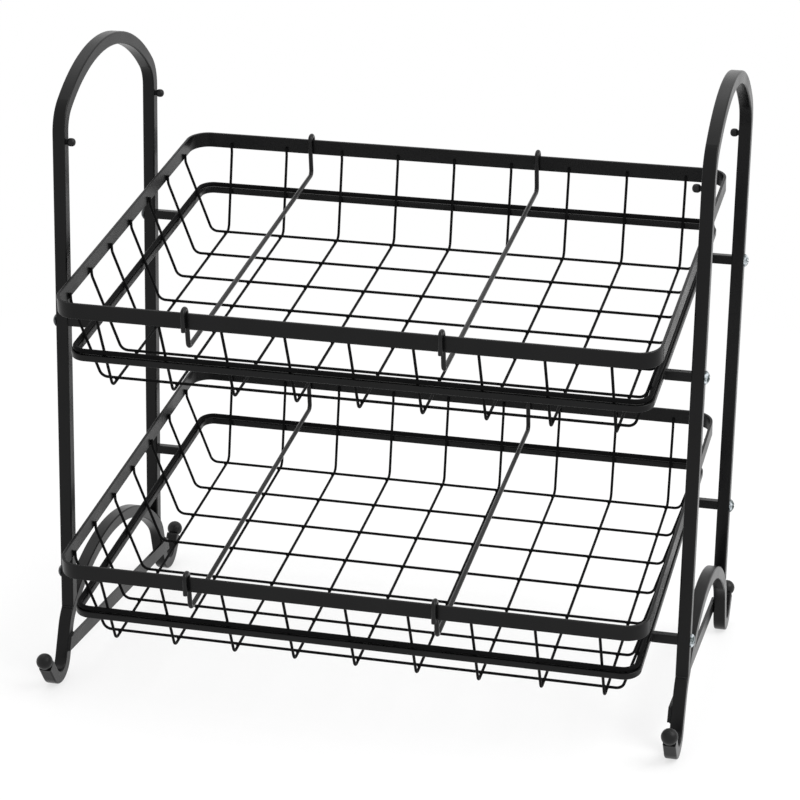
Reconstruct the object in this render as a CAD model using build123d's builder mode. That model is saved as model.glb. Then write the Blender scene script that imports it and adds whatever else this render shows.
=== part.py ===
from build123d import *
from math import atan2, cos, degrees, radians, sin, sqrt, tan
import os

# Two tilted wire baskets between two bent side frames. Lengths are in millimetres,
# angles in degrees. X runs from left to right, Y from front to back, Z up from the floor.
# The origin is under the middle of the whole rack, on the floor.

# Side frame: square tube bent to an arch with two legs
tube = 8.0
tube_wall = 1.0
tube_edge_r = 1.0
frame_width = 400.0
leg_spread = 166.0
arch_height = 402.3
arch_top_r = 117.0
arch_shoulder_r = 22.0

# Scroll foot: the same tube bent to an omega. Its arc is a share of half the leg spread.
foot_height = 76.3
foot_arc_share = 1.542
foot_shoulder_inset = 17.2
foot_shoulder_r = 25.6
foot_lean = 19.0
foot_hook_r = 12.3
foot_tip_rise = 52.0
foot_tip_length = 10.8

# Ball cap on each end of the scroll foot
ball_d = 10.5
ball_seat = 4.7
cap_thickness = 1.2
spigot_length = 7.0
spigot_gap = 0.15

# Foot rail: flat strip on edge, with its ends cut along the leaning sides of the scroll foot
rail_thickness = 2.0
rail_height = 8.8
rail_bottom_z = 17.8
rail_end_inset = 0.3

# Hanging peg, just under the arch's shoulder: nearly a ball, on a short neck
peg_drop = 5.25
peg_neck_d = 3.4
peg_neck_length = 0.4
peg_head_d = 5.2
peg_head_length = 5.2
peg_edge_r = 2.1

# Tiers
basket_tilt = 10.48
tier_y = 4.1
lower_tier_z = 59.6
tier_pitch = 168.0

# Basket rim: flat bar on edge, clear of the legs on both sides. Heights in a basket are
# above its floor, which is where its long and its cross wires touch.
rim_side_gap = 10.7
rim_depth = 277.8
rim_bottom_z = 52.5
rim_height = 10.2
rim_thickness = 1.8
rim_corner_r = 14.0
rim_edge_r = 0.4

# Basket wires. The walls flare from the floor to the knee, where the wires turn upright
# inside the rim. The margins lie between the outermost wires and the floor's edges.
wire_d = 1.8
wall_flare_share = 0.32
knee_z = 50.8
long_wire_count = 9
long_wire_margin = 9.3
cross_wire_count = 7
cross_wire_margin = 7.9
wire_top_z = 56.2
floor_bend_r = 5.5
knee_bend_r = 8.0

# Hoop round the wires
hoop_d = 3.0
hoop_z = 27.4
hoop_corner_r = 9.0

# Support ring under the hoop, with the gaps that let the basket lift off
ring_bar = 4.2
ring_edge_r = 0.6
rest_gap = 0.3
side_gap = 0.4

# Stubs from the ring to the legs, and their screws
stub_height = 5.8
stub_depth = 6.0
stub_edge_r = 0.8
stub_drop = 0.55
screw_d = 4.0
screw_length = 18.0
screw_tip_chamfer = 0.5
screw_head_d = 8.4
screw_head_height = 2.8
screw_head_edge = 0.7
screw_hole_gap = 0.15
screw_thread_gap = 0.05
screw_hole_spare = 2.0
recess_length = 4.4
recess_width = 1.0
recess_depth = 1.3

# Dividers. Their places at rest are shares of the pitch of the long wires, from the middle.
divider_d = 3.0
divider_run_z = 38.4
divider_bend_r = 3.5
divider_hook_width = 7.0
divider_hook_offset = 0.5
divider_end_z = 52.0
upper_left_divider_share = -2.555
upper_right_divider_share = 1.452
lower_left_divider_share = -2.545
lower_right_divider_share = 1.447

# Overrun of cuts
overrun = 3.0

half_turn = 180.0
quarter_turn = 90.0

wire_r = wire_d / 2
hoop_r = hoop_d / 2
divider_r = divider_d / 2
leg_y = leg_spread / 2
side_x = frame_width / 2
leg_inner_x = side_x - tube / 2
leg_outer_x = side_x + tube / 2
tilt = radians(basket_tilt)
rim_width = 2 * (leg_inner_x - rim_side_gap)
rim_top_z = rim_bottom_z + rim_height
wall_stretch_share = sqrt(1 + wall_flare_share ** 2)

# The wires' floor is as wide and deep as the rim and the flare leave it
wall_inset = rim_thickness + wire_r + wall_flare_share * knee_z
floor_width = rim_width - 2 * wall_inset
floor_depth = rim_depth - 2 * wall_inset
long_wire_pitch = (floor_width - 2 * long_wire_margin) / (long_wire_count - 1)
cross_wire_pitch = (floor_depth - 2 * cross_wire_margin) / (cross_wire_count - 1)

# The ring's top lies just under the hoop, and its inner faces just outside the wires
ring_top_z = hoop_z - hoop_r - rest_gap
ring_bottom_z = ring_top_z - ring_bar
ring_wall = wall_flare_share * ring_top_z + wire_r * wall_stretch_share + side_gap
ring_inner_width = floor_width + 2 * ring_wall
ring_inner_depth = floor_depth + 2 * ring_wall
ring_outer_width = ring_inner_width + 2 * ring_bar
ring_outer_depth = ring_inner_depth + 2 * ring_bar
ring_outer_x = ring_outer_width / 2

# The hoop's centre line runs where the rod touches the flared wires from outside
hoop_wall = wall_flare_share * hoop_z + (wire_r + hoop_r) * wall_stretch_share
hoop_half_x = floor_width / 2 + hoop_wall
hoop_half_y = floor_depth / 2 + hoop_wall

# Each divider hook is a half circle over the rim, just clear of the rim's inner top edge
hook_r = divider_hook_width / 2
hook_y = rim_depth / 2 - rim_thickness / 2 + divider_hook_offset
hook_reach = rim_thickness / 2 + divider_hook_offset
hook_z = rim_top_z - sqrt((hook_r - divider_r - rest_gap) ** 2 - hook_reach ** 2)

# The rack reaches furthest at the upper divider hooks: the hook's bend at the front, the end
# of the hook at the back. The legs stand where this puts the origin in the middle.
front_reach = hook_y * cos(tilt) + hook_z * sin(tilt) + hook_r + divider_r
back_reach = (hook_y + hook_r + divider_r) * cos(tilt) - divider_end_z * sin(tilt)
tier_mid_y = (front_reach - back_reach) / 2
leg_mid_y = tier_mid_y - tier_y


def side_plane(x):
    # The upright plane of one side frame: its x runs back, its y runs up
    return Plane(origin=(x, leg_mid_y, 0), x_dir=(0, 1, 0), z_dir=(1, 0, 0))


def tier_plane(z):
    # The tilted plane in which a basket's long and cross wires touch
    return Plane(origin=(0, tier_mid_y, z), x_dir=(1, 0, 0), z_dir=(0, -sin(tilt), cos(tilt)))


upper_tier_z = lower_tier_z + tier_pitch
upper_tier = tier_plane(upper_tier_z)
lower_tier = tier_plane(lower_tier_z)


def stub_z(tier_z, y):
    # Height of the stubs at one leg: the middle of the tilted ring there, less the drop
    ring_mid_z = (ring_top_z + ring_bottom_z) / 2
    return tier_z + (y - tier_y) * tan(tilt) + ring_mid_z / cos(tilt) - stub_drop


def leg_fixings(tier_z):
    # Where the stubs of a tier meet the legs, as places in the side plane
    return [(y, stub_z(tier_z, y)) for y in (-leg_y, leg_y)]


# Side arch

arch_z = arch_height - tube / 2 - arch_top_r
shoulder_y = leg_y - arch_shoulder_r
shoulder_z = arch_z + sqrt((arch_top_r - arch_shoulder_r) ** 2 - shoulder_y ** 2)
shoulder_angle = degrees(atan2(shoulder_z - arch_z, shoulder_y))

peg_z = shoulder_z - peg_drop

foot_arc_r = foot_arc_share * leg_y
foot_arc_z = foot_height - tube / 2 - foot_arc_r
foot_outer_r = foot_arc_r + tube / 2
foot_shoulder_y = leg_y - foot_shoulder_inset
foot_shoulder_z = foot_arc_z + sqrt((foot_arc_r - foot_shoulder_r) ** 2 - foot_shoulder_y ** 2)
foot_shoulder_outer_r = foot_shoulder_r + tube / 2
cope_low_z = foot_shoulder_z + sqrt(foot_shoulder_outer_r ** 2 - (foot_shoulder_inset + tube / 2) ** 2)


def tube_section(plane):
    with BuildSketch(plane) as section:
        RectangleRounded(tube, tube, tube_edge_r)
        Rectangle(tube - 2 * tube_wall, tube - 2 * tube_wall, mode=Mode.SUBTRACT)
    return section.sketch


def side_arch(x):
    plane = side_plane(x)
    start_z = cope_low_z - overrun
    with BuildPart() as arch:
        with BuildLine(plane) as path:
            Line((-leg_y, start_z), (-leg_y, shoulder_z))
            CenterArc((-shoulder_y, shoulder_z), arch_shoulder_r, half_turn, -shoulder_angle)
            CenterArc((0, arch_z), arch_top_r, half_turn - shoulder_angle, 2 * shoulder_angle - half_turn)
            CenterArc((shoulder_y, shoulder_z), arch_shoulder_r, shoulder_angle, -shoulder_angle)
            Line((leg_y, shoulder_z), (leg_y, start_z))
        start = plane.from_local_coords((-leg_y, start_z))
        sweep(tube_section(Plane(origin=start, x_dir=(1, 0, 0), z_dir=(0, 0, 1))), path=path.line)
        # The legs end on the curved top and shoulders of the scroll foot
        with BuildSketch(plane):
            with Locations((0, foot_arc_z)):
                Circle(foot_outer_r)
            with Locations((-foot_shoulder_y, foot_shoulder_z), (foot_shoulder_y, foot_shoulder_z)):
                Circle(foot_shoulder_outer_r)
        extrude(amount=tube, both=True, mode=Mode.SUBTRACT)
        # Clearance holes for the frame screws, through both walls of the tube
        with BuildSketch(plane):
            with Locations(*leg_fixings(upper_tier_z), *leg_fixings(lower_tier_z)):
                Circle(screw_d / 2 + screw_hole_gap)
        extrude(amount=tube, both=True, mode=Mode.SUBTRACT)
    return arch.part


# Scroll foot

foot_shoulder_angle = degrees(atan2(foot_shoulder_z - foot_arc_z, foot_shoulder_y))
lean = radians(foot_lean)
rise = radians(foot_tip_rise)
lean_top_y = foot_shoulder_y + foot_shoulder_r * cos(lean)
lean_top_z = foot_shoulder_z + foot_shoulder_r * sin(lean)
hook_mid_z = foot_hook_r + tube / 2
lean_length = (lean_top_z + foot_hook_r * sin(lean) - hook_mid_z) / cos(lean)
lean_low_y = lean_top_y + lean_length * sin(lean)
lean_low_z = lean_top_z - lean_length * cos(lean)
hook_mid_y = lean_low_y + foot_hook_r * cos(lean)
tip_start_y = hook_mid_y + foot_hook_r * sin(rise)
tip_start_z = hook_mid_z - foot_hook_r * cos(rise)
tip_end_y = tip_start_y + foot_tip_length * cos(rise)
tip_end_z = tip_start_z + foot_tip_length * sin(rise)
hook_turn = quarter_turn + foot_tip_rise - foot_lean
foot_shoulder_turn = foot_shoulder_angle - foot_lean


def scroll_foot(x):
    plane = side_plane(x)
    with BuildPart() as foot:
        with BuildLine(plane) as path:
            Line((-tip_end_y, tip_end_z), (-tip_start_y, tip_start_z))
            CenterArc((-hook_mid_y, hook_mid_z), foot_hook_r, -foot_lean - hook_turn, hook_turn)
            Line((-lean_low_y, lean_low_z), (-lean_top_y, lean_top_z))
            CenterArc((-foot_shoulder_y, foot_shoulder_z), foot_shoulder_r,
                      half_turn - foot_lean, -foot_shoulder_turn)
            CenterArc((0, foot_arc_z), foot_arc_r,
                      half_turn - foot_shoulder_angle, 2 * foot_shoulder_angle - half_turn)
            CenterArc((foot_shoulder_y, foot_shoulder_z), foot_shoulder_r,
                      foot_shoulder_angle, -foot_shoulder_turn)
            Line((lean_top_y, lean_top_z), (lean_low_y, lean_low_z))
            CenterArc((hook_mid_y, hook_mid_z), foot_hook_r, half_turn + foot_lean, hook_turn)
            Line((tip_start_y, tip_start_z), (tip_end_y, tip_end_z))
        start = plane.from_local_coords((-tip_end_y, tip_end_z))
        inward = (0, cos(rise), -sin(rise))
        sweep(tube_section(Plane(origin=start, x_dir=(1, 0, 0), z_dir=inward)), path=path.line)
    return foot.part


# Ball cap: a ball on a square plate, with a spigot in the end of the tube

with BuildPart() as ball_cap:
    with BuildSketch():
        RectangleRounded(tube, tube, tube_edge_r)
    extrude(amount=cap_thickness)
    with BuildSketch():
        Rectangle(tube - 2 * tube_wall - 2 * spigot_gap, tube - 2 * tube_wall - 2 * spigot_gap)
    extrude(amount=-spigot_length)
    with Locations((0, 0, cap_thickness + ball_seat)):
        Sphere(ball_d / 2)


def foot_balls(x):
    plane = side_plane(x)
    front_end = plane.from_local_coords((-tip_end_y, tip_end_z))
    back_end = plane.from_local_coords((tip_end_y, tip_end_z))
    with BuildPart() as balls:
        with Locations(Plane(origin=front_end, x_dir=(1, 0, 0), z_dir=(0, -cos(rise), sin(rise))),
                       Plane(origin=back_end, x_dir=(1, 0, 0), z_dir=(0, cos(rise), sin(rise)))):
            add(ball_cap.part)
    return balls.part


# Foot rail, on the inner faces of the scroll foot

def lean_outer_y(z):
    # How far out the leaning sides of the scroll foot reach at a height
    return lean_low_y + (lean_low_z - z) * tan(lean) + tube / 2 / cos(lean)


def foot_rail(side):
    rail_top_z = rail_bottom_z + rail_height
    low_y = lean_outer_y(rail_bottom_z) - rail_end_inset
    top_y = lean_outer_y(rail_top_z) - rail_end_inset
    with BuildPart() as rail:
        with BuildSketch(side_plane(side * leg_inner_x)):
            Polygon((-low_y, rail_bottom_z), (low_y, rail_bottom_z),
                    (top_y, rail_top_z), (-top_y, rail_top_z), align=None)
        extrude(amount=-side * rail_thickness)
    return rail.part


# Hanging peg: a round head, and a neck that ends in the middle of it

with BuildPart() as hanging_peg:
    with BuildSketch(Plane.XY.offset(peg_neck_length)):
        Circle(peg_head_d / 2)
    extrude(amount=peg_head_length)
    fillet(faces().sort_by(Axis.Z)[0].edges() + faces().sort_by(Axis.Z)[-1].edges(), radius=peg_edge_r)
    with BuildSketch():
        Circle(peg_neck_d / 2)
    extrude(amount=peg_neck_length + peg_head_length / 2)


def hanging_pegs(side):
    plane = side_plane(side * leg_inner_x)
    seats = [plane.from_local_coords((y, peg_z)) for y in (-leg_y, leg_y)]
    with BuildPart() as pegs:
        with Locations(*[Plane(origin=seat, x_dir=(0, 1, 0), z_dir=(-side, 0, 0)) for seat in seats]):
            add(hanging_peg.part)
    return pegs.part


# Support ring, made flat in the plane of a tier

with BuildPart() as support_ring:
    with BuildSketch(Plane.XY.offset(ring_bottom_z)):
        RectangleRounded(ring_outer_width, ring_outer_depth, hoop_corner_r + ring_bar / 2)
        RectangleRounded(ring_inner_width, ring_inner_depth, hoop_corner_r - ring_bar / 2,
                         mode=Mode.SUBTRACT)
    extrude(amount=ring_bar)
    fillet(faces().group_by(Axis.Z)[0].edges() + faces().group_by(Axis.Z)[-1].edges(),
           radius=ring_edge_r)


# Ring stubs, from the ring's outer faces to the legs' inner faces

def ring_stubs(tier_z):
    hole_depth = screw_length - tube + screw_hole_spare
    with BuildPart() as stubs:
        for side in (-1, 1):
            with BuildSketch(side_plane(side * leg_inner_x)):
                with Locations(*leg_fixings(tier_z)):
                    RectangleRounded(stub_depth, stub_height, stub_edge_r)
            extrude(amount=-side * (leg_inner_x - ring_outer_x))
            with BuildSketch(side_plane(side * leg_inner_x)):
                with Locations(*leg_fixings(tier_z)):
                    Circle(screw_d / 2 + screw_thread_gap)
            extrude(amount=-side * hole_depth, mode=Mode.SUBTRACT)
    return stubs.part


# Frame screw: domed head with a cross recess, and a plain shank

with BuildPart() as frame_screw:
    with BuildSketch(Plane.XZ) as screw_profile:
        with BuildLine():
            Polyline((0, screw_head_height), (0, -screw_length),
                     (screw_d / 2 - screw_tip_chamfer, -screw_length),
                     (screw_d / 2, screw_tip_chamfer - screw_length),
                     (screw_d / 2, 0), (screw_head_d / 2, 0), (screw_head_d / 2, screw_head_edge))
            TangentArc((0, screw_head_height), (screw_head_d / 2, screw_head_edge),
                       tangent=(1, 0), tangent_from_first=True)
        make_face()
    revolve(axis=Axis.Z)
    with BuildSketch(Plane.XY.offset(screw_head_height)):
        Rectangle(recess_length, recess_width)
        Rectangle(recess_width, recess_length)
    extrude(amount=-recess_depth, mode=Mode.SUBTRACT)


def frame_screws(tier_z):
    seats = []
    for side in (-1, 1):
        plane = side_plane(side * leg_outer_x)
        for place in leg_fixings(tier_z):
            seats.append(Plane(origin=plane.from_local_coords(place), x_dir=(0, 1, 0), z_dir=(side, 0, 0)))
    with BuildPart() as screws:
        with Locations(*seats):
            add(frame_screw.part)
    return screws.part


# Basket rim, made flat in the plane of a tier

with BuildPart() as basket_rim:
    with BuildSketch(Plane.XY.offset(rim_bottom_z)):
        RectangleRounded(rim_width, rim_depth, rim_corner_r)
        RectangleRounded(rim_width - 2 * rim_thickness, rim_depth - 2 * rim_thickness,
                         rim_corner_r - rim_thickness, mode=Mode.SUBTRACT)
    extrude(amount=rim_height)
    fillet(faces().group_by(Axis.Z)[0].edges() + faces().group_by(Axis.Z)[-1].edges(),
           radius=rim_edge_r)


# Hoop: round rod bent to a rounded rectangle

with BuildSketch(Plane.XY.offset(hoop_z)) as hoop_outline:
    RectangleRounded(2 * hoop_half_x, 2 * hoop_half_y, hoop_corner_r)
hoop_path = hoop_outline.sketch.wire()

with BuildPart() as basket_hoop:
    with BuildSketch(Plane(origin=hoop_path @ 0, z_dir=hoop_path % 0)):
        Circle(hoop_r)
    sweep(path=hoop_path)


# Basket wires: flat floor, two flared walls and short upright ends inside the rim

def wire_points(floor_half, rim_inner, wire_z):
    top = rim_inner - wire_r
    low = floor_half + wall_flare_share * wire_z
    back_half = [(low, wire_z), (top, knee_z), (top, wire_top_z)]
    return [(-a, z) for a, z in reversed(back_half)] + back_half


def bent_wire(plane, points):
    with BuildPart() as wire:
        with BuildLine(plane) as path:
            FilletPolyline(*points, radius=(knee_bend_r, floor_bend_r, floor_bend_r, knee_bend_r))
        start = plane.from_local_coords(points[0])
        with BuildSketch(Plane(origin=start, z_dir=(0, 0, -1))):
            Circle(wire_r)
        sweep(path=path.line)
    return wire.part


def spread(count, pitch):
    return [(i - (count - 1) / 2) * pitch for i in range(count)]


long_wire = bent_wire(Plane.YZ, wire_points(floor_depth / 2, rim_depth / 2 - rim_thickness, -wire_r))
cross_wire = bent_wire(Plane.XZ, wire_points(floor_width / 2, rim_width / 2 - rim_thickness, wire_r))

with BuildPart() as long_wires:
    with Locations(*[(x, 0, 0) for x in spread(long_wire_count, long_wire_pitch)]):
        add(long_wire)

with BuildPart() as cross_wires:
    with Locations(*[(0, y, 0) for y in spread(cross_wire_count, cross_wire_pitch)]):
        add(cross_wire)


# Divider: a straight run across the basket, with a hook over the rim at each end

def divider(x):
    inner_y = hook_y - hook_r
    outer_y = hook_y + hook_r
    with BuildPart() as rod:
        with BuildLine(Plane.YZ.offset(x)) as path:
            Line((-outer_y, divider_end_z), (-outer_y, hook_z))
            ThreePointArc((-outer_y, hook_z), (-hook_y, hook_z + hook_r), (-inner_y, hook_z))
            FilletPolyline((-inner_y, hook_z), (-inner_y, divider_run_z), (inner_y, divider_run_z),
                           (inner_y, hook_z), radius=divider_bend_r)
            ThreePointArc((inner_y, hook_z), (hook_y, hook_z + hook_r), (outer_y, hook_z))
            Line((outer_y, hook_z), (outer_y, divider_end_z))
        with BuildSketch(Plane.XY.offset(divider_end_z)):
            with Locations((x, -outer_y)):
                Circle(divider_r)
        sweep(path=path.line)
    return rod.part


# Files: the side frames stand where they are made, the pieces of a tier are tilted into place

def write(shape, name):
    shape.label = name
    export_step(shape, "parts/" + name + ".step")


def tilted(shape, plane):
    with BuildPart() as placed:
        with Locations(plane):
            add(shape)
    return placed.part


os.makedirs("parts", exist_ok=True)

for side, side_name in ((-1, "left"), (1, "right")):
    write(side_arch(side * side_x), side_name + "_side_arch")
    write(scroll_foot(side * side_x), side_name + "_scroll_foot")
    write(foot_rail(side), side_name + "_foot_rail")
    write(foot_balls(side * side_x), side_name + "_foot_balls")
    write(hanging_pegs(side), side_name + "_hanging_pegs")

for tier, tier_z, tier_name, left_share, right_share in (
        (upper_tier, upper_tier_z, "upper", upper_left_divider_share, upper_right_divider_share),
        (lower_tier, lower_tier_z, "lower", lower_left_divider_share, lower_right_divider_share)):
    write(tilted(support_ring.part, tier), tier_name + "_support_ring")
    write(ring_stubs(tier_z), tier_name + "_ring_stubs")
    write(frame_screws(tier_z), tier_name + "_frame_screws")
    write(tilted(basket_rim.part, tier), tier_name + "_basket_rim")
    write(tilted(basket_hoop.part, tier), tier_name + "_basket_hoop")
    write(tilted(long_wires.part, tier), tier_name + "_long_wires")
    write(tilted(cross_wires.part, tier), tier_name + "_cross_wires")
    write(tilted(divider(left_share * long_wire_pitch), tier), tier_name + "_left_divider")
    write(tilted(divider(right_share * long_wire_pitch), tier), tier_name + "_right_divider")
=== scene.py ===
import math

import bpy
from mathutils import Matrix, Vector


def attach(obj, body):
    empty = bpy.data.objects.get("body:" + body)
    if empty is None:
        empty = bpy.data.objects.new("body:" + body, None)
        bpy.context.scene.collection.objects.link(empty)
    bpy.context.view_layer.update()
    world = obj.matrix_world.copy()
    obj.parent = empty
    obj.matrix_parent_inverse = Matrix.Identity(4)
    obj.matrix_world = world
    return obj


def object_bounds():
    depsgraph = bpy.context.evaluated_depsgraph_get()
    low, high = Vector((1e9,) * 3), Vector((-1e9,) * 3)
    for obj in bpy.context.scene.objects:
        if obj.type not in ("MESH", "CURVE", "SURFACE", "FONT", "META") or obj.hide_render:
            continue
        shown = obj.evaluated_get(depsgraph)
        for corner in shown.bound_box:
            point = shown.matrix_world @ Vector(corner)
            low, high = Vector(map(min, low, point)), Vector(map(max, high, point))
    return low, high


bl_info = {
    "name": "Tiered Wire Basket Rack",
    "version": (1, 0, 0),
    "blender": (4, 5, 0),
    "location": "3D View > Sidebar > Rack",
    "description": "Finishes, welds and a plain studio for the two-tier wire basket rack",
    "category": "Object",
}

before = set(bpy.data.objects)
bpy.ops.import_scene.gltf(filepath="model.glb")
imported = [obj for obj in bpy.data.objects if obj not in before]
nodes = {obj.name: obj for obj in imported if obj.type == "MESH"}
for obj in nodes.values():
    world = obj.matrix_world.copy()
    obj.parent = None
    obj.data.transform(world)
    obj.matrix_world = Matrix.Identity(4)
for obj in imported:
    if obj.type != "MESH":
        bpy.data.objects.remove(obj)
cad_low, cad_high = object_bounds()

SIDES = ("left", "right")
TIERS = ("upper", "lower")
WHITE = (1.0, 1.0, 1.0, 1.0)

# Weld spots: the height of the pressed ball, where its top and underside start, and their stretch
SPOT_HEIGHT = 0.72
SPOT_TOP_START = 0.6
SPOT_TOP_STRETCH = (1.15, 1.15, 0.9)

# Weld spots on the hoop and behind the rim, which are smaller than those of the floor
HOOP_SPOT_STRETCH = (0.92, 0.92, 0.8)
RIM_SPOT_STRETCH = (0.85, 0.85, 0.75)

# Weld seams: the step from drop to drop, and how much and how fast the drops' width varies
DROP_STEP = 0.75
DROP_SWELL = 0.08
DROP_SWELL_TURN = 2.4


# Sizes and colours a user would change

class RackSizes(bpy.types.PropertyGroup):
    basket_tilt: bpy.props.FloatProperty(
        name="Basket tilt", description="Forward tilt of both baskets",
        default=math.radians(10.48), subtype="ANGLE", unit="ROTATION")
    tier_mid_y: bpy.props.FloatProperty(
        name="Tier middle", description="Where the middle of a basket's floor lies along Y",
        default=0.0103855, subtype="DISTANCE", unit="LENGTH", precision=5)
    lower_tier_z: bpy.props.FloatProperty(
        name="Lower floor height", description="Height of the middle of the lower basket's floor",
        default=0.0596, subtype="DISTANCE", unit="LENGTH", precision=5)
    tier_pitch: bpy.props.FloatProperty(
        name="Tier pitch", description="Height from one basket's floor to the next",
        default=0.168, subtype="DISTANCE", unit="LENGTH", precision=5)
    wire_diameter: bpy.props.FloatProperty(
        name="Wire diameter", description="Diameter of the basket wires",
        default=0.0018, subtype="DISTANCE", unit="LENGTH", precision=5)
    long_wire_pitch: bpy.props.FloatProperty(
        name="Long wire pitch", description="Spacing of the wires that run from front to back",
        default=0.039261, subtype="DISTANCE", unit="LENGTH", precision=6)
    long_wire_count: bpy.props.IntProperty(
        name="Long wires", description="How many wires run from front to back",
        default=9, min=1)
    cross_wire_pitch: bpy.props.FloatProperty(
        name="Cross wire pitch", description="Spacing of the wires that run from side to side",
        default=0.037348, subtype="DISTANCE", unit="LENGTH", precision=6)
    cross_wire_count: bpy.props.IntProperty(
        name="Cross wires", description="How many wires run from side to side",
        default=7, min=1)
    floor_width: bpy.props.FloatProperty(
        name="Floor width", description="Width of a basket's floor between its flared walls",
        default=0.332688, subtype="DISTANCE", unit="LENGTH", precision=6)
    floor_depth: bpy.props.FloatProperty(
        name="Floor depth", description="Depth of a basket's floor between its flared walls",
        default=0.239888, subtype="DISTANCE", unit="LENGTH", precision=6)
    wall_flare: bpy.props.FloatProperty(
        name="Wall flare", description="How far a wall leans out for each unit of height",
        default=0.32)
    rim_width: bpy.props.FloatProperty(
        name="Rim width", description="Width over the basket's rim",
        default=0.3706, subtype="DISTANCE", unit="LENGTH", precision=5)
    rim_depth: bpy.props.FloatProperty(
        name="Rim depth", description="Depth over the basket's rim",
        default=0.2778, subtype="DISTANCE", unit="LENGTH", precision=5)
    rim_thickness: bpy.props.FloatProperty(
        name="Rim thickness", description="Thickness of the rim's flat bar",
        default=0.0018, subtype="DISTANCE", unit="LENGTH", precision=5)
    rim_spot_z: bpy.props.FloatProperty(
        name="Rim spot height", description="Height of the spot welds above the basket's floor",
        default=0.0543, subtype="DISTANCE", unit="LENGTH", precision=5)
    hoop_z: bpy.props.FloatProperty(
        name="Hoop height", description="Height of the hoop above the basket's floor",
        default=0.0274, subtype="DISTANCE", unit="LENGTH", precision=5)
    spot_radius: bpy.props.FloatProperty(
        name="Weld spot radius", description="Radius of the resistance weld spots on the wires",
        default=0.00135, subtype="DISTANCE", unit="LENGTH", precision=5)
    tube_width: bpy.props.FloatProperty(
        name="Tube width", description="Width of the square tube of the side frames",
        default=0.008, subtype="DISTANCE", unit="LENGTH", precision=5)
    side_x: bpy.props.FloatProperty(
        name="Side frame place",
        description="Where the middle of the right side frame lies along X",
        default=0.2, subtype="DISTANCE", unit="LENGTH", precision=5)
    leg_mid_y: bpy.props.FloatProperty(
        name="Side frame middle", description="Where the middle of a side frame lies along Y",
        default=0.0062855, subtype="DISTANCE", unit="LENGTH", precision=6)
    leg_spread: bpy.props.FloatProperty(
        name="Leg spread", description="Distance between the middles of a side frame's legs",
        default=0.166, subtype="DISTANCE", unit="LENGTH", precision=5)
    leg_outer_foot_z: bpy.props.FloatProperty(
        name="Outer leg end", description="Height where the outer face of a leg meets the foot",
        default=0.043414, subtype="DISTANCE", unit="LENGTH", precision=6)
    leg_inner_foot_z: bpy.props.FloatProperty(
        name="Inner leg end", description="Height where the inner face of a leg meets the foot",
        default=0.050046, subtype="DISTANCE", unit="LENGTH", precision=6)
    rail_low_z: bpy.props.FloatProperty(
        name="Rail underside", description="Height of the foot rail's lower edge",
        default=0.0178, subtype="DISTANCE", unit="LENGTH", precision=5)
    rail_high_z: bpy.props.FloatProperty(
        name="Rail top", description="Height of the foot rail's upper edge",
        default=0.0266, subtype="DISTANCE", unit="LENGTH", precision=5)
    lean_y: bpy.props.FloatProperty(
        name="Lean place",
        description="How far from the middle a foot's leaning side is at its low end",
        default=0.096477, subtype="DISTANCE", unit="LENGTH", precision=6)
    lean_z: bpy.props.FloatProperty(
        name="Lean low end", description="Height of the low end of a foot's leaning side",
        default=0.0122955, subtype="DISTANCE", unit="LENGTH", precision=6)
    foot_lean: bpy.props.FloatProperty(
        name="Foot lean", description="Angle of a foot's leaning sides from upright",
        default=math.radians(19.0), subtype="ANGLE", unit="ROTATION")
    ring_side_x: bpy.props.FloatProperty(
        name="Ring side", description="Where the outer face of a support ring lies along X",
        default=0.180081, subtype="DISTANCE", unit="LENGTH", precision=6)
    ring_bar_height: bpy.props.FloatProperty(
        name="Ring bar height", description="Height of a support ring's bar",
        default=0.0042, subtype="DISTANCE", unit="LENGTH", precision=5)
    stub_depth: bpy.props.FloatProperty(
        name="Stub depth", description="Depth of the stubs from a ring to the legs",
        default=0.006, subtype="DISTANCE", unit="LENGTH", precision=5)
    front_stub_z: bpy.props.FloatProperty(
        name="Front stub height", description="Height of the lower ring's front stubs",
        default=0.066837, subtype="DISTANCE", unit="LENGTH", precision=6)
    back_stub_z: bpy.props.FloatProperty(
        name="Back stub height", description="Height of the lower ring's back stubs",
        default=0.097543, subtype="DISTANCE", unit="LENGTH", precision=6)
    seam_radius: bpy.props.FloatProperty(
        name="Weld seam radius", description="Radius of the weld seams on the tubes and bars",
        default=0.0008, subtype="DISTANCE", unit="LENGTH", precision=5)


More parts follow.
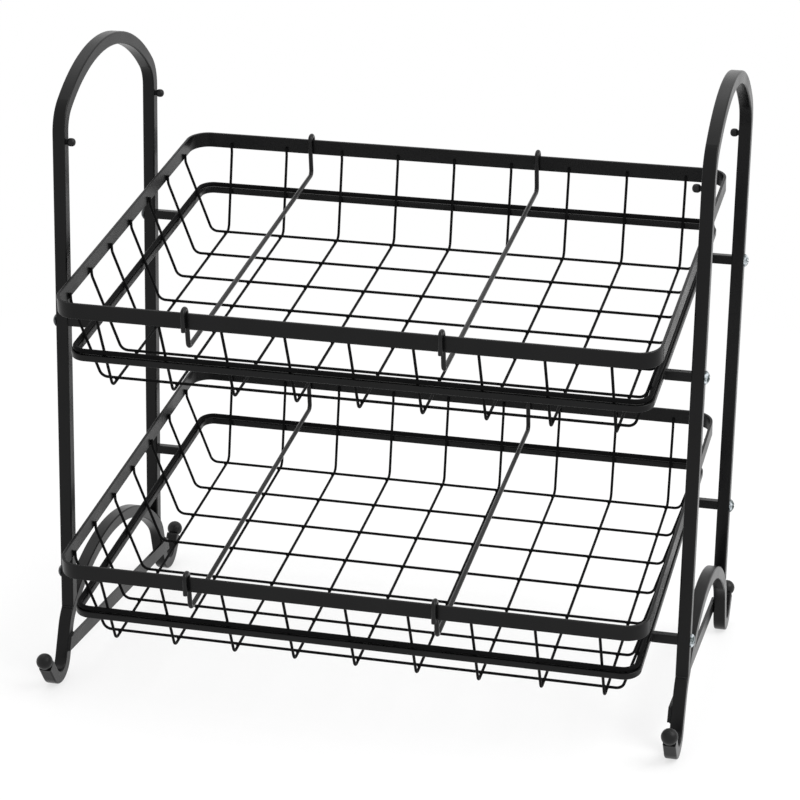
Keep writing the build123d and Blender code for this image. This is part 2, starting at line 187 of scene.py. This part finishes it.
class RackFinish(bpy.types.PropertyGroup):
    coat_colour: bpy.props.FloatVectorProperty(
        name="Coat colour", description="Colour of the black powder coat",
        default=(0.0038, 0.0038, 0.0040), subtype="COLOR", size=3, min=0.0, max=1.0)
    coat_worn_colour: bpy.props.FloatVectorProperty(
        name="Rubbed coat colour", description="Colour of the coat where edges are rubbed",
        default=(0.026, 0.026, 0.027), subtype="COLOR", size=3, min=0.0, max=1.0)
    coat_roughness: bpy.props.FloatProperty(
        name="Coat roughness", description="Roughness of the powder coat",
        default=0.29, min=0.0, max=1.0)
    coat_ior: bpy.props.FloatProperty(
        name="Coat IOR", description="Refractive index of the coat on tubes and bars",
        default=1.262, min=1.0)
    divider_ior: bpy.props.FloatProperty(
        name="Divider coat IOR",
        description="Refractive index of the glossier coat on the dividers",
        default=1.32, min=1.0)
    wire_ior: bpy.props.FloatProperty(
        name="Wire coat IOR", description="Refractive index of the duller coat on the wires",
        default=1.11, min=1.0)
    cap_ior: bpy.props.FloatProperty(
        name="Ball coat IOR", description="Refractive index of the coat on the ball caps and pegs",
        default=1.33, min=1.0)
    peel_depth: bpy.props.FloatProperty(
        name="Orange peel depth", description="Depth of the powder coat's orange peel",
        default=0.00006, subtype="DISTANCE", unit="LENGTH", precision=6)
    rub_radius: bpy.props.FloatProperty(
        name="Rubbed edge radius", description="How far from an edge the powder coat is rubbed",
        default=0.0009, subtype="DISTANCE", unit="LENGTH", precision=5)
    zinc_colour: bpy.props.FloatVectorProperty(
        name="Zinc colour", description="Colour of the zinc-plated screws",
        default=(0.72, 0.78, 0.82), subtype="COLOR", size=3, min=0.0, max=1.0)
    zinc_tarnish: bpy.props.FloatVectorProperty(
        name="Zinc tarnish", description="Colour of the dull patches on the screws",
        default=(0.085, 0.105, 0.105), subtype="COLOR", size=3, min=0.0, max=1.0)
    # Painted shade: how bright the screws of the left side stay, as the light falls from the right
    zinc_left_painted_shade: bpy.props.FloatProperty(
        name="Left screws' brightness",
        description="How bright the duller screws of the left side are",
        default=0.09, min=0.0, max=1.0)
    zinc_roughness: bpy.props.FloatProperty(
        name="Zinc roughness", description="Roughness of the zinc plate",
        default=0.22, min=0.0, max=1.0)
    scratch_depth: bpy.props.FloatProperty(
        name="Scratch depth", description="Depth of the fine scratches in the zinc plate",
        default=0.00003, subtype="DISTANCE", unit="LENGTH", precision=6)


class RackStage(bpy.types.PropertyGroup):
    floor_size: bpy.props.FloatProperty(
        name="Floor size", description="Length of the square floor's sides",
        default=14.0, subtype="DISTANCE", unit="LENGTH")
    floor_drop: bpy.props.FloatProperty(
        name="Floor drop", description="How far the floor lies under the feet",
        default=0.0002, subtype="DISTANCE", unit="LENGTH", precision=5)
    floor_colour: bpy.props.FloatVectorProperty(
        name="Floor colour", description="Colour of the pale floor",
        default=(0.9, 0.9, 0.9), subtype="COLOR", size=3, min=0.0, max=1.0)
    near_white: bpy.props.FloatProperty(
        name="White near the rack",
        description="How much plain white the floor shows near the rack",
        default=0.68, min=0.0, max=1.0)
    near_distance: bpy.props.FloatProperty(
        name="Near distance",
        description="Distance from the middle where the floor starts to whiten",
        default=0.3, subtype="DISTANCE", unit="LENGTH")
    far_distance: bpy.props.FloatProperty(
        name="Far distance", description="Distance from the middle where the floor is all white",
        default=0.9, subtype="DISTANCE", unit="LENGTH")
    world_strength: bpy.props.FloatProperty(
        name="World strength", description="Light from the white surroundings",
        default=0.9, min=0.0)
    key_power: bpy.props.FloatProperty(
        name="Key lamp power", description="Power of the large lamp at the upper right",
        default=26.0, min=0.0, subtype="POWER", unit="POWER")
    key_place: bpy.props.FloatVectorProperty(
        name="Key lamp place", description="Where the lamp at the upper right hangs",
        default=(1.5, -0.3, 1.7), subtype="TRANSLATION", unit="LENGTH", size=3)
    key_size: bpy.props.FloatProperty(
        name="Key lamp size", description="Length of the sides of the lamp at the upper right",
        default=1.4, subtype="DISTANCE", unit="LENGTH")
    top_power: bpy.props.FloatProperty(
        name="Top lamp power", description="Power of the large lamp overhead",
        default=7.0, min=0.0, subtype="POWER", unit="POWER")
    top_place: bpy.props.FloatVectorProperty(
        name="Top lamp place", description="Where the lamp overhead hangs",
        default=(-0.2, 0.5, 1.9), subtype="TRANSLATION", unit="LENGTH", size=3)
    top_size: bpy.props.FloatProperty(
        name="Top lamp size", description="Length of the sides of the lamp overhead",
        default=1.6, subtype="DISTANCE", unit="LENGTH")
    camera_place: bpy.props.FloatVectorProperty(
        name="Camera place", description="Where the camera stands",
        default=(0.39926, -1.61634, 0.70204), subtype="TRANSLATION", unit="LENGTH", size=3,
        precision=5)
    camera_yaw: bpy.props.FloatProperty(
        name="Camera yaw", description="Turn of the camera to its left from the +Y direction",
        default=0.2428, subtype="ANGLE", unit="ROTATION")
    camera_pitch: bpy.props.FloatProperty(
        name="Camera pitch", description="Tilt of the camera above the horizon",
        default=-0.3047, subtype="ANGLE", unit="ROTATION")
    camera_roll: bpy.props.FloatProperty(
        name="Camera roll", description="Roll of the camera about its line of sight",
        default=0.0195, subtype="ANGLE", unit="ROTATION")
    camera_lens: bpy.props.FloatProperty(
        name="Camera lens", description="Focal length of the camera in millimetres",
        default=122.3, subtype="DISTANCE_CAMERA")
    camera_sensor: bpy.props.FloatProperty(
        name="Camera frame", description="Width of the camera's frame in millimetres",
        default=36.0, subtype="DISTANCE_CAMERA")


# Helpers for materials

def new_material(name):
    material = bpy.data.materials.new(name)
    material.use_nodes = True
    material.node_tree.nodes.clear()
    return material


def add_node(tree, kind, **settings):
    node = tree.nodes.new(kind)
    for key, value in settings.items():
        setattr(node, key, value)
    return node


def set_inputs(node, **values):
    for key, value in values.items():
        node.inputs[key.replace("_", " ")].default_value = value


def feed(tree, socket, value):
    # Link another node's output to the socket, or set a plain number or colour on it
    if isinstance(value, bpy.types.NodeSocket):
        tree.links.new(value, socket)
    elif socket.type == "RGBA":
        socket.default_value = (*value, 1.0)
    else:
        socket.default_value = value


def maths(tree, operation, *values, clamped=False):
    node = add_node(tree, "ShaderNodeMath", operation=operation, use_clamp=clamped)
    for socket, value in zip(node.inputs, values):
        feed(tree, socket, value)
    return node.outputs["Value"]


def noise_field(tree, coordinates, scale, detail, roughness=0.5):
    noise = add_node(tree, "ShaderNodeTexNoise")
    set_inputs(noise, Scale=scale, Detail=detail, Roughness=roughness)
    tree.links.new(coordinates, noise.inputs["Vector"])
    return noise.outputs["Fac"]


def ramp(tree, source, stops):
    # From the first stop's colour to the second one's
    node = add_node(tree, "ShaderNodeValToRGB")
    for element, (place, colour) in zip(node.color_ramp.elements, stops):
        element.position = place
        element.color = (*colour, 1.0)
    tree.links.new(source, node.inputs["Fac"])
    return node.outputs["Color"]


def mix_colours(tree, factor, first, second, blend="MIX"):
    # The node's colour sockets come after those for numbers and vectors
    node = add_node(tree, "ShaderNodeMix", data_type="RGBA", blend_type=blend)
    feed(tree, node.inputs["Factor"], factor)
    feed(tree, node.inputs[6], first)
    feed(tree, node.inputs[7], second)
    return node.outputs[2]


def spread(tree, source, low, high, from_low=0.3, from_high=0.7):
    # Stretch one range of numbers over another, and hold what lies outside at its ends
    node = add_node(tree, "ShaderNodeMapRange")
    set_inputs(node, From_Min=from_low, From_Max=from_high, To_Min=low, To_Max=high)
    tree.links.new(source, node.inputs["Value"])
    return node.outputs["Result"]


def add_shader(tree):
    # The principled shader, linked to the material's output
    shader = add_node(tree, "ShaderNodeBsdfPrincipled")
    output = add_node(tree, "ShaderNodeOutputMaterial")
    tree.links.new(shader.outputs["BSDF"], output.inputs["Surface"])
    return shader


def add_bump(tree, shader, height, strength, depth):
    bump = add_node(tree, "ShaderNodeBump")
    set_inputs(bump, Strength=strength, Distance=depth)
    tree.links.new(height, bump.inputs["Height"])
    tree.links.new(bump.outputs["Normal"], shader.inputs["Normal"])


def blend_on_output(tree, kind, share, first, second):
    # The share says how much of the second shader reaches the output
    output = add_node(tree, kind)
    blend = add_node(tree, "ShaderNodeMixShader")
    for socket, source in zip(blend.inputs, (share, first, second)):
        tree.links.new(source, socket)
    tree.links.new(blend.outputs["Shader"], output.inputs["Surface"])


def seen_rays(tree):
    # One for the rays that look at the background, straight or by way of metal and glass
    path = add_node(tree, "ShaderNodeLightPath")
    total = path.outputs["Is Camera Ray"]
    for kind in ("Is Glossy Ray", "Is Transmission Ray"):
        total = maths(tree, "ADD", total, path.outputs[kind], clamped=True)
    return total


def edge_mask(tree, radius):
    # One on corners and edges, where a bevel of this radius would turn the surface
    bevel = add_node(tree, "ShaderNodeBevel", samples=6)
    set_inputs(bevel, Radius=radius)
    geometry = add_node(tree, "ShaderNodeNewGeometry")
    alike = add_node(tree, "ShaderNodeVectorMath", operation="DOT_PRODUCT")
    tree.links.new(bevel.outputs["Normal"], alike.inputs[0])
    tree.links.new(geometry.outputs["Normal"], alike.inputs[1])
    return spread(tree, alike.outputs["Value"], low=1.0, high=0.0, from_low=0.86, from_high=0.995)


def powder_coat(name, finish, ior, worn=True, grain=1500.0, roughness_shift=0.0):
    # Satin black powder coat: fine orange peel, faint cloudiness, pale flecks, rubbed edges
    material = new_material(name)
    tree = material.node_tree
    shader = add_shader(tree)
    place = add_node(tree, "ShaderNodeTexCoord").outputs["Object"]
    cloud = noise_field(tree, place, scale=34.0, detail=4.0)
    peel = noise_field(tree, place, scale=grain, detail=3.0, roughness=0.6)
    speck = noise_field(tree, place, scale=grain * 2.4, detail=2.0)
    coat = Vector(finish.coat_colour)
    dark_cloud = coat * 0.82
    light_cloud = coat * 1.2
    fleck = coat * 2.2
    base = ramp(tree, cloud, ((0.32, dark_cloud), (0.68, light_cloud)))
    flecks = spread(tree, speck, low=0.0, high=0.35, from_low=0.58, from_high=0.74)
    base = mix_colours(tree, flecks, base, fleck)
    roughness = finish.coat_roughness + roughness_shift
    rough = spread(tree, cloud, low=roughness - 0.05, high=roughness + 0.06)
    if worn:
        edge = edge_mask(tree, finish.rub_radius)
        rub = noise_field(tree, place, scale=160.0, detail=5.0, roughness=0.65)
        patches = spread(tree, rub, low=0.12, high=0.75, from_low=0.42, from_high=0.66)
        rubbed = maths(tree, "MULTIPLY", edge, patches)
        base = mix_colours(tree, rubbed, base, finish.coat_worn_colour)
        # Rubbing makes the coat a little smoother
        rough = maths(tree, "MULTIPLY_ADD", rubbed, -0.1, rough)
    tree.links.new(base, shader.inputs["Base Color"])
    tree.links.new(rough, shader.inputs["Roughness"])
    add_bump(tree, shader, peel, strength=0.35, depth=finish.peel_depth)
    set_inputs(shader, Metallic=0.0, IOR=ior)
    return material


def zinc_plate(finish):
    # Bluish zinc plate: dull patches and fine scratches, and painted shade that darkens the screws of
    # the left side
    material = new_material("zinc_plate")
    tree = material.node_tree
    shader = add_shader(tree)
    place = add_node(tree, "ShaderNodeTexCoord").outputs["Object"]
    patch = noise_field(tree, place, scale=420.0, detail=5.0, roughness=0.6)
    scratch_map = add_node(tree, "ShaderNodeMapping")
    set_inputs(scratch_map, Scale=(1.0, 0.08, 1.0))
    tree.links.new(place, scratch_map.inputs["Vector"])
    scratch = noise_field(tree, scratch_map.outputs["Vector"], scale=5200.0, detail=2.0)
    base = ramp(tree, patch, ((0.42, finish.zinc_tarnish), (0.6, finish.zinc_colour)))
    # Painted shade: the screws of the left side frame are darkened all over, as the light falls from
    # the right
    apart = add_node(tree, "ShaderNodeSeparateXYZ")
    tree.links.new(place, apart.inputs["Vector"])
    left = maths(tree, "LESS_THAN", apart.outputs["X"], 0.0)
    painted_left_shade = (finish.zinc_left_painted_shade,) * 3
    base = mix_colours(tree, left, base, painted_left_shade, "MULTIPLY")
    rough = spread(tree, patch, low=finish.zinc_roughness + 0.14, high=finish.zinc_roughness - 0.04)
    tree.links.new(base, shader.inputs["Base Color"])
    tree.links.new(rough, shader.inputs["Roughness"])
    add_bump(tree, shader, scratch, strength=0.25, depth=finish.scratch_depth)
    set_inputs(shader, Metallic=1.0)
    return material


def node_names(owners, pieces):
    return [owner + "_" + piece for owner in owners for piece in pieces]


def dress(names, material):
    for name in names:
        mesh = nodes[name].data
        if not mesh.materials:
            mesh.materials.append(material)
        for place in range(len(mesh.materials)):
            mesh.materials[place] = material


# Helpers for modelling

def nothing_selected():
    if bpy.context.object and bpy.context.object.mode != "OBJECT":
        bpy.ops.object.mode_set(mode="OBJECT")
    bpy.ops.object.select_all(action="DESELECT")


def tier_matrix(tier, sizes):
    height = sizes.lower_tier_z + (sizes.tier_pitch if tier == "upper" else 0.0)
    middle = Matrix.Translation((0.0, sizes.tier_mid_y, height))
    return middle @ Matrix.Rotation(sizes.basket_tilt, 4, "X")


def spread_places(count, pitch):
    return [(step - (count - 1) / 2) * pitch for step in range(count)]


def weld_spot_mesh(radius):
    # A ball pressed to a lens whose top and underside are wider and flatter
    nothing_selected()
    bpy.ops.mesh.primitive_uv_sphere_add(segments=8, ring_count=6, radius=radius)
    spot = bpy.context.object
    bpy.ops.object.mode_set(mode="EDIT")
    bpy.ops.mesh.select_all(action="SELECT")
    bpy.ops.transform.resize(value=(1.0, 1.0, SPOT_HEIGHT))
    bpy.ops.mesh.select_all(action="DESELECT")
    bpy.ops.object.mode_set(mode="OBJECT")
    for vertex in spot.data.vertices:
        vertex.select = abs(vertex.co.z) > radius * SPOT_TOP_START
    bpy.ops.object.mode_set(mode="EDIT")
    bpy.ops.transform.resize(value=SPOT_TOP_STRETCH)
    bpy.ops.object.mode_set(mode="OBJECT")
    bpy.ops.object.shade_smooth()
    mesh = spot.data
    bpy.data.objects.remove(spot)
    return mesh


def joined_copies(name, mesh, places, material, body):
    # One piece made of a copy of the mesh at each place, with its own mesh
    nothing_selected()
    copies = []
    for place in places:
        copy = mesh.copy()
        copy.transform(place)
        piece = bpy.data.objects.new(name, copy)
        bpy.context.collection.objects.link(piece)
        piece.select_set(True)
        copies.append(piece)
    bpy.context.view_layer.objects.active = copies[0]
    bpy.ops.object.join()
    piece = bpy.context.object
    piece.name = name
    piece.data.name = name
    piece.data.materials.clear()
    piece.data.materials.append(material)
    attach(piece, body)
    bpy.data.meshes.remove(mesh)


def stretched(place, turn, stretch):
    return Matrix.Translation(place) @ turn.to_4x4() @ Matrix.Diagonal((*stretch, 1.0))


# Operators

class RACK_OT_coat_side_frames(bpy.types.Operator):
    """Give the side frames, feet, rails, rings and stubs their powder coat"""
    bl_idname = "rack.coat_side_frames"
    bl_label = "Coat the side frames"

    def execute(self, context):
        finish = context.scene.rack_finish
        tube_coat = powder_coat("tube_coat", finish, finish.coat_ior)
        dress(node_names(SIDES, ("side_arch", "scroll_foot", "foot_rail")), tube_coat)
        ball_coat = powder_coat("ball_coat", finish, finish.cap_ior, worn=False, grain=1900.0,
                                roughness_shift=0.14)
        dress(node_names(SIDES, ("foot_balls", "hanging_pegs")), ball_coat)
        bar_coat = powder_coat("bar_coat", finish, finish.coat_ior, grain=1700.0)
        dress(node_names(TIERS, ("support_ring", "ring_stubs")), bar_coat)
        return {"FINISHED"}


class RACK_OT_coat_baskets(bpy.types.Operator):
    """Give the baskets' rims, hoops, wires and dividers their powder coat"""
    bl_idname = "rack.coat_baskets"
    bl_label = "Coat the baskets"

    def execute(self, context):
        finish = context.scene.rack_finish
        rim_coat = powder_coat("rim_coat", finish, finish.coat_ior, grain=1700.0)
        dress(node_names(TIERS, ("basket_rim",)), rim_coat)
        wire_coat = powder_coat("wire_coat", finish, finish.wire_ior, worn=False, grain=2100.0,
                                roughness_shift=0.2)
        dress(node_names(TIERS, ("basket_hoop", "long_wires", "cross_wires")), wire_coat)
        divider_coat = powder_coat("divider_coat", finish, finish.divider_ior, worn=False,
                                   grain=1900.0, roughness_shift=-0.04)
        dress(node_names(TIERS, ("left_divider", "right_divider")), divider_coat)
        return {"FINISHED"}


class RACK_OT_plate_screws(bpy.types.Operator):
    """Give the frame screws their zinc plate"""
    bl_idname = "rack.plate_screws"
    bl_label = "Plate the screws"

    def execute(self, context):
        dress(node_names(TIERS, ("frame_screws",)), zinc_plate(context.scene.rack_finish))
        return {"FINISHED"}


class RACK_OT_weld_wire_grids(bpy.types.Operator):
    """Put a resistance weld spot on each crossing of the floor wires"""
    bl_idname = "rack.weld_wire_grids"
    bl_label = "Weld the wire grids"

    def execute(self, context):
        sizes = context.scene.rack_sizes
        coat = bpy.data.materials["wire_coat"]
        for tier in TIERS:
            tilt = tier_matrix(tier, sizes)
            places = [tilt @ Matrix.Translation((x, y, 0.0))
                      for x in spread_places(sizes.long_wire_count, sizes.long_wire_pitch)
                      for y in spread_places(sizes.cross_wire_count, sizes.cross_wire_pitch)]
            joined_copies(tier + "_grid_welds", weld_spot_mesh(sizes.spot_radius), places, coat,
                          tier + "_basket")
        return {"FINISHED"}


class RACK_OT_weld_hoops_and_rims(bpy.types.Operator):
    """Put weld spots where the wires pass the hoop and end on the rim"""
    bl_idname = "rack.weld_hoops_and_rims"
    bl_label = "Weld the hoops and rims"

    def execute(self, context):
        sizes = context.scene.rack_sizes
        coat = bpy.data.materials["wire_coat"]
        for tier in TIERS:
            tilt = tier_matrix(tier, sizes)
            for ending, places in (("_hoop_welds", self.hoop_places(sizes)),
                                   ("_rim_welds", self.rim_places(sizes))):
                joined_copies(tier + ending, weld_spot_mesh(sizes.spot_radius),
                              [tilt @ place for place in places], coat,
                              tier + "_basket")
        return {"FINISHED"}

    def wall_lines(self, sizes, half_depth, half_width):
        # Each wire that climbs a wall: its way out, its place along the wall, how far out the wall is
        lines = []
        for x in spread_places(sizes.long_wire_count, sizes.long_wire_pitch):
            for out in (-1.0, 1.0):
                lines.append((Vector((0.0, out, 0.0)), Vector((x, 0.0, 0.0)), half_depth))
        for y in spread_places(sizes.cross_wire_count, sizes.cross_wire_pitch):
            for out in (-1.0, 1.0):
                lines.append((Vector((out, 0.0, 0.0)), Vector((0.0, y, 0.0)), half_width))
        return lines

    def hoop_places(self, sizes):
        stretch = math.sqrt(1.0 + sizes.wall_flare ** 2)
        reach = sizes.wall_flare * sizes.hoop_z + sizes.wire_diameter / 2 * stretch
        places = []
        for out, along, half in self.wall_lines(sizes, sizes.floor_depth / 2, sizes.floor_width / 2):
            contact = out * (half + reach) + along
            normal = Vector((out.x / stretch, out.y / stretch, -sizes.wall_flare / stretch))
            contact.z = sizes.hoop_z
            turn = normal.to_track_quat("Z", "Y").to_matrix()
            places.append(stretched(contact, turn, HOOP_SPOT_STRETCH))
        return places

    def rim_places(self, sizes):
        places = []
        for out, along, half in self.wall_lines(sizes, sizes.rim_depth / 2, sizes.rim_width / 2):
            contact = out * (half - sizes.rim_thickness) + along
            contact.z = sizes.rim_spot_z
            turn = out.to_track_quat("Z", "Y").to_matrix()
            places.append(stretched(contact, turn, RIM_SPOT_STRETCH))
        return places


class RACK_OT_weld_side_frames(bpy.types.Operator):
    """Run weld seams where the legs, rails and stubs meet the feet and the rings"""
    bl_idname = "rack.weld_side_frames"
    bl_label = "Weld the side frames"

    def execute(self, context):
        sizes = context.scene.rack_sizes
        for name, seams, coat in (("leg_seams", self.leg_seams(sizes), "tube_coat"),
                                  ("rail_seams", self.rail_seams(sizes), "tube_coat"),
                                  ("stub_seams", self.stub_seams(sizes), "bar_coat")):
            places = [place for start, end in seams
                      for place in self.drops(start, end, sizes.seam_radius)]
            joined_copies(name, weld_spot_mesh(sizes.seam_radius), places,
                          bpy.data.materials[coat], "frame")
        return {"FINISHED"}

    def drops(self, start, end, radius):
        # Overlapping drops from one end of a seam to the other, of slightly uneven widths
        run = end - start
        count = max(2, round(run.length / (radius * DROP_STEP)))
        turn = run.to_track_quat("Z", "Y").to_matrix()
        places = []
        for step in range(count + 1):
            swell = 1.0 + DROP_SWELL * math.sin(DROP_SWELL_TURN * step)
            places.append(stretched(start + run * step / count, turn, (swell, swell, 1.0)))
        return places

    def leg_seams(self, sizes):
        # Across the front and the back of each leg, in the corner on top of the foot
        seams = []
        half = sizes.tube_width / 2
        reach = half - sizes.seam_radius
        for side in (-1, 1):
            for end in (-1, 1):
                for out, z in ((half, sizes.leg_outer_foot_z), (-half, sizes.leg_inner_foot_z)):
                    y = sizes.leg_mid_y + end * (sizes.leg_spread / 2 + out)
                    x = side * sizes.side_x
                    seams.append((Vector((x - reach, y, z)), Vector((x + reach, y, z))))
        return seams

    def rail_seams(self, sizes):
        # Along the rail's upper and lower edges, where it crosses the leaning sides of the foot
        seams = []
        half = sizes.tube_width / 2 / math.cos(sizes.foot_lean) - sizes.seam_radius
        for side in (-1, 1):
            x = side * (sizes.side_x - sizes.tube_width / 2)
            for end in (-1, 1):
                for z in (sizes.rail_low_z, sizes.rail_high_z):
                    lean = sizes.lean_y + (sizes.lean_z - z) * math.tan(sizes.foot_lean)
                    y = sizes.leg_mid_y + end * lean
                    seams.append((Vector((x, y - half, z)), Vector((x, y + half, z))))
        return seams

    def stub_seams(self, sizes):
        # Up the front and the back of each stub, where it meets the side of the ring
        seams = []
        half = sizes.ring_bar_height / 2 - sizes.seam_radius / 2
        for lift in (0.0, sizes.tier_pitch):
            for end, z in ((-1, sizes.front_stub_z), (1, sizes.back_stub_z)):
                middle = sizes.leg_mid_y + end * sizes.leg_spread / 2
                for side in (-1, 1):
                    for face in (-1, 1):
                        y = middle + face * sizes.stub_depth / 2
                        x = side * sizes.ring_side_x
                        low = z + lift - half
                        seams.append((Vector((x, y, low)), Vector((x, y, low + 2 * half))))
        return seams


class RACK_OT_light_stage(bpy.types.Operator):
    """Lay the pale floor and light it with white surroundings and two large lamps"""
    bl_idname = "rack.light_stage"
    bl_label = "Light the stage"

    def execute(self, context):
        stage = context.scene.rack_stage
        self.lay_floor(stage)
        self.light_world(context, stage)
        self.add_lamp("key_lamp", stage.key_place, stage.key_size, stage.key_power)
        self.add_lamp("top_lamp", stage.top_place, stage.top_size, stage.top_power)
        context.scene.view_settings.view_transform = "Standard"
        return {"FINISHED"}

    def lay_floor(self, stage):
        nothing_selected()
        bpy.ops.mesh.primitive_plane_add(size=stage.floor_size, location=(0.0, 0.0, -stage.floor_drop))
        floor = bpy.context.object
        floor.name = "studio_floor"
        material = new_material("pale_floor")
        tree = material.node_tree
        shader = add_node(tree, "ShaderNodeBsdfPrincipled")
        set_inputs(shader, Roughness=0.9, Base_Color=(*stage.floor_colour, 1.0))
        # Rays that are seen find plain white, and only part of it near the rack, where the shadow stays
        white = add_node(tree, "ShaderNodeEmission")
        set_inputs(white, Color=WHITE, Strength=1.0)
        place = add_node(tree, "ShaderNodeTexCoord").outputs["Object"]
        away = add_node(tree, "ShaderNodeVectorMath", operation="LENGTH")
        tree.links.new(place, away.inputs[0])
        share = spread(tree, away.outputs["Value"], low=stage.near_white, high=1.0,
                       from_low=stage.near_distance, from_high=stage.far_distance)
        seen = maths(tree, "MULTIPLY", share, seen_rays(tree))
        blend_on_output(tree, "ShaderNodeOutputMaterial", seen, shader.outputs["BSDF"],
                        white.outputs["Emission"])
        floor.data.materials.append(material)

    def light_world(self, context, stage):
        world = bpy.data.worlds.new("white_surroundings")
        context.scene.world = world
        world.use_nodes = True
        tree = world.node_tree
        tree.nodes.clear()
        light = add_node(tree, "ShaderNodeBackground")
        set_inputs(light, Color=WHITE, Strength=stage.world_strength)
        seen = add_node(tree, "ShaderNodeBackground")
        set_inputs(seen, Color=WHITE, Strength=1.0)
        blend_on_output(tree, "ShaderNodeOutputWorld", seen_rays(tree), light.outputs["Background"],
                        seen.outputs["Background"])

    def add_lamp(self, name, place, size, power):
        lamp = bpy.data.objects.new(name, bpy.data.lights.new(name, "AREA"))
        lamp.data.size = size
        lamp.data.energy = power
        lamp.location = place
        middle = (cad_low + cad_high) / 2
        lamp.rotation_euler = (middle - lamp.location).to_track_quat("-Z", "Y").to_euler()
        bpy.context.collection.objects.link(lamp)


class RACK_OT_place_camera(bpy.types.Operator):
    """Stand the camera at the photograph's viewing angle"""
    bl_idname = "rack.place_camera"
    bl_label = "Place the camera"

    def execute(self, context):
        stage = context.scene.rack_stage
        camera = bpy.data.objects.new("photo_camera", bpy.data.cameras.new("photo_camera"))
        camera.data.lens = stage.camera_lens
        camera.data.sensor_width = stage.camera_sensor
        yaw, pitch, roll = stage.camera_yaw, stage.camera_pitch, stage.camera_roll
        ahead = Vector((-math.sin(yaw) * math.cos(pitch), math.cos(yaw) * math.cos(pitch),
                        math.sin(pitch)))
        level = Vector((math.cos(yaw), math.sin(yaw), 0.0))
        above = level.cross(ahead)
        right = level * math.cos(roll) + above * math.sin(roll)
        up = above * math.cos(roll) - level * math.sin(roll)
        turn = Matrix((right, up, -ahead)).transposed()
        camera.matrix_world = Matrix.Translation(stage.camera_place) @ turn.to_4x4()
        bpy.context.collection.objects.link(camera)
        context.scene.camera = camera
        return {"FINISHED"}


class RACK_PT_panel(bpy.types.Panel):
    """Steps that finish the rack"""
    bl_idname = "RACK_PT_panel"
    bl_label = "Basket rack"
    bl_space_type = "VIEW_3D"
    bl_region_type = "UI"
    bl_category = "Rack"

    def draw(self, context):
        for step in STEPS:
            self.layout.operator(step)


STEPS = (
    "rack.place_camera",
    "rack.light_stage",
    "rack.coat_side_frames",
    "rack.coat_baskets",
    "rack.plate_screws",
    "rack.weld_wire_grids",
    "rack.weld_hoops_and_rims",
    "rack.weld_side_frames",
)

CLASSES = (
    RackSizes,
    RackFinish,
    RackStage,
    RACK_OT_place_camera,
    RACK_OT_light_stage,
    RACK_OT_coat_side_frames,
    RACK_OT_coat_baskets,
    RACK_OT_plate_screws,
    RACK_OT_weld_wire_grids,
    RACK_OT_weld_hoops_and_rims,
    RACK_OT_weld_side_frames,
    RACK_PT_panel,
)


def register():
    for kind in CLASSES:
        bpy.utils.register_class(kind)
    bpy.types.Scene.rack_sizes = bpy.props.PointerProperty(type=RackSizes)
    bpy.types.Scene.rack_finish = bpy.props.PointerProperty(type=RackFinish)
    bpy.types.Scene.rack_stage = bpy.props.PointerProperty(type=RackStage)


def unregister():
    del bpy.types.Scene.rack_stage
    del bpy.types.Scene.rack_finish
    del bpy.types.Scene.rack_sizes
    for kind in reversed(CLASSES):
        bpy.utils.unregister_class(kind)


def main():
    register()
    for step in STEPS:
        group, name = step.split(".")
        getattr(getattr(bpy.ops, group), name)()


if __name__ == "__main__":
    main()
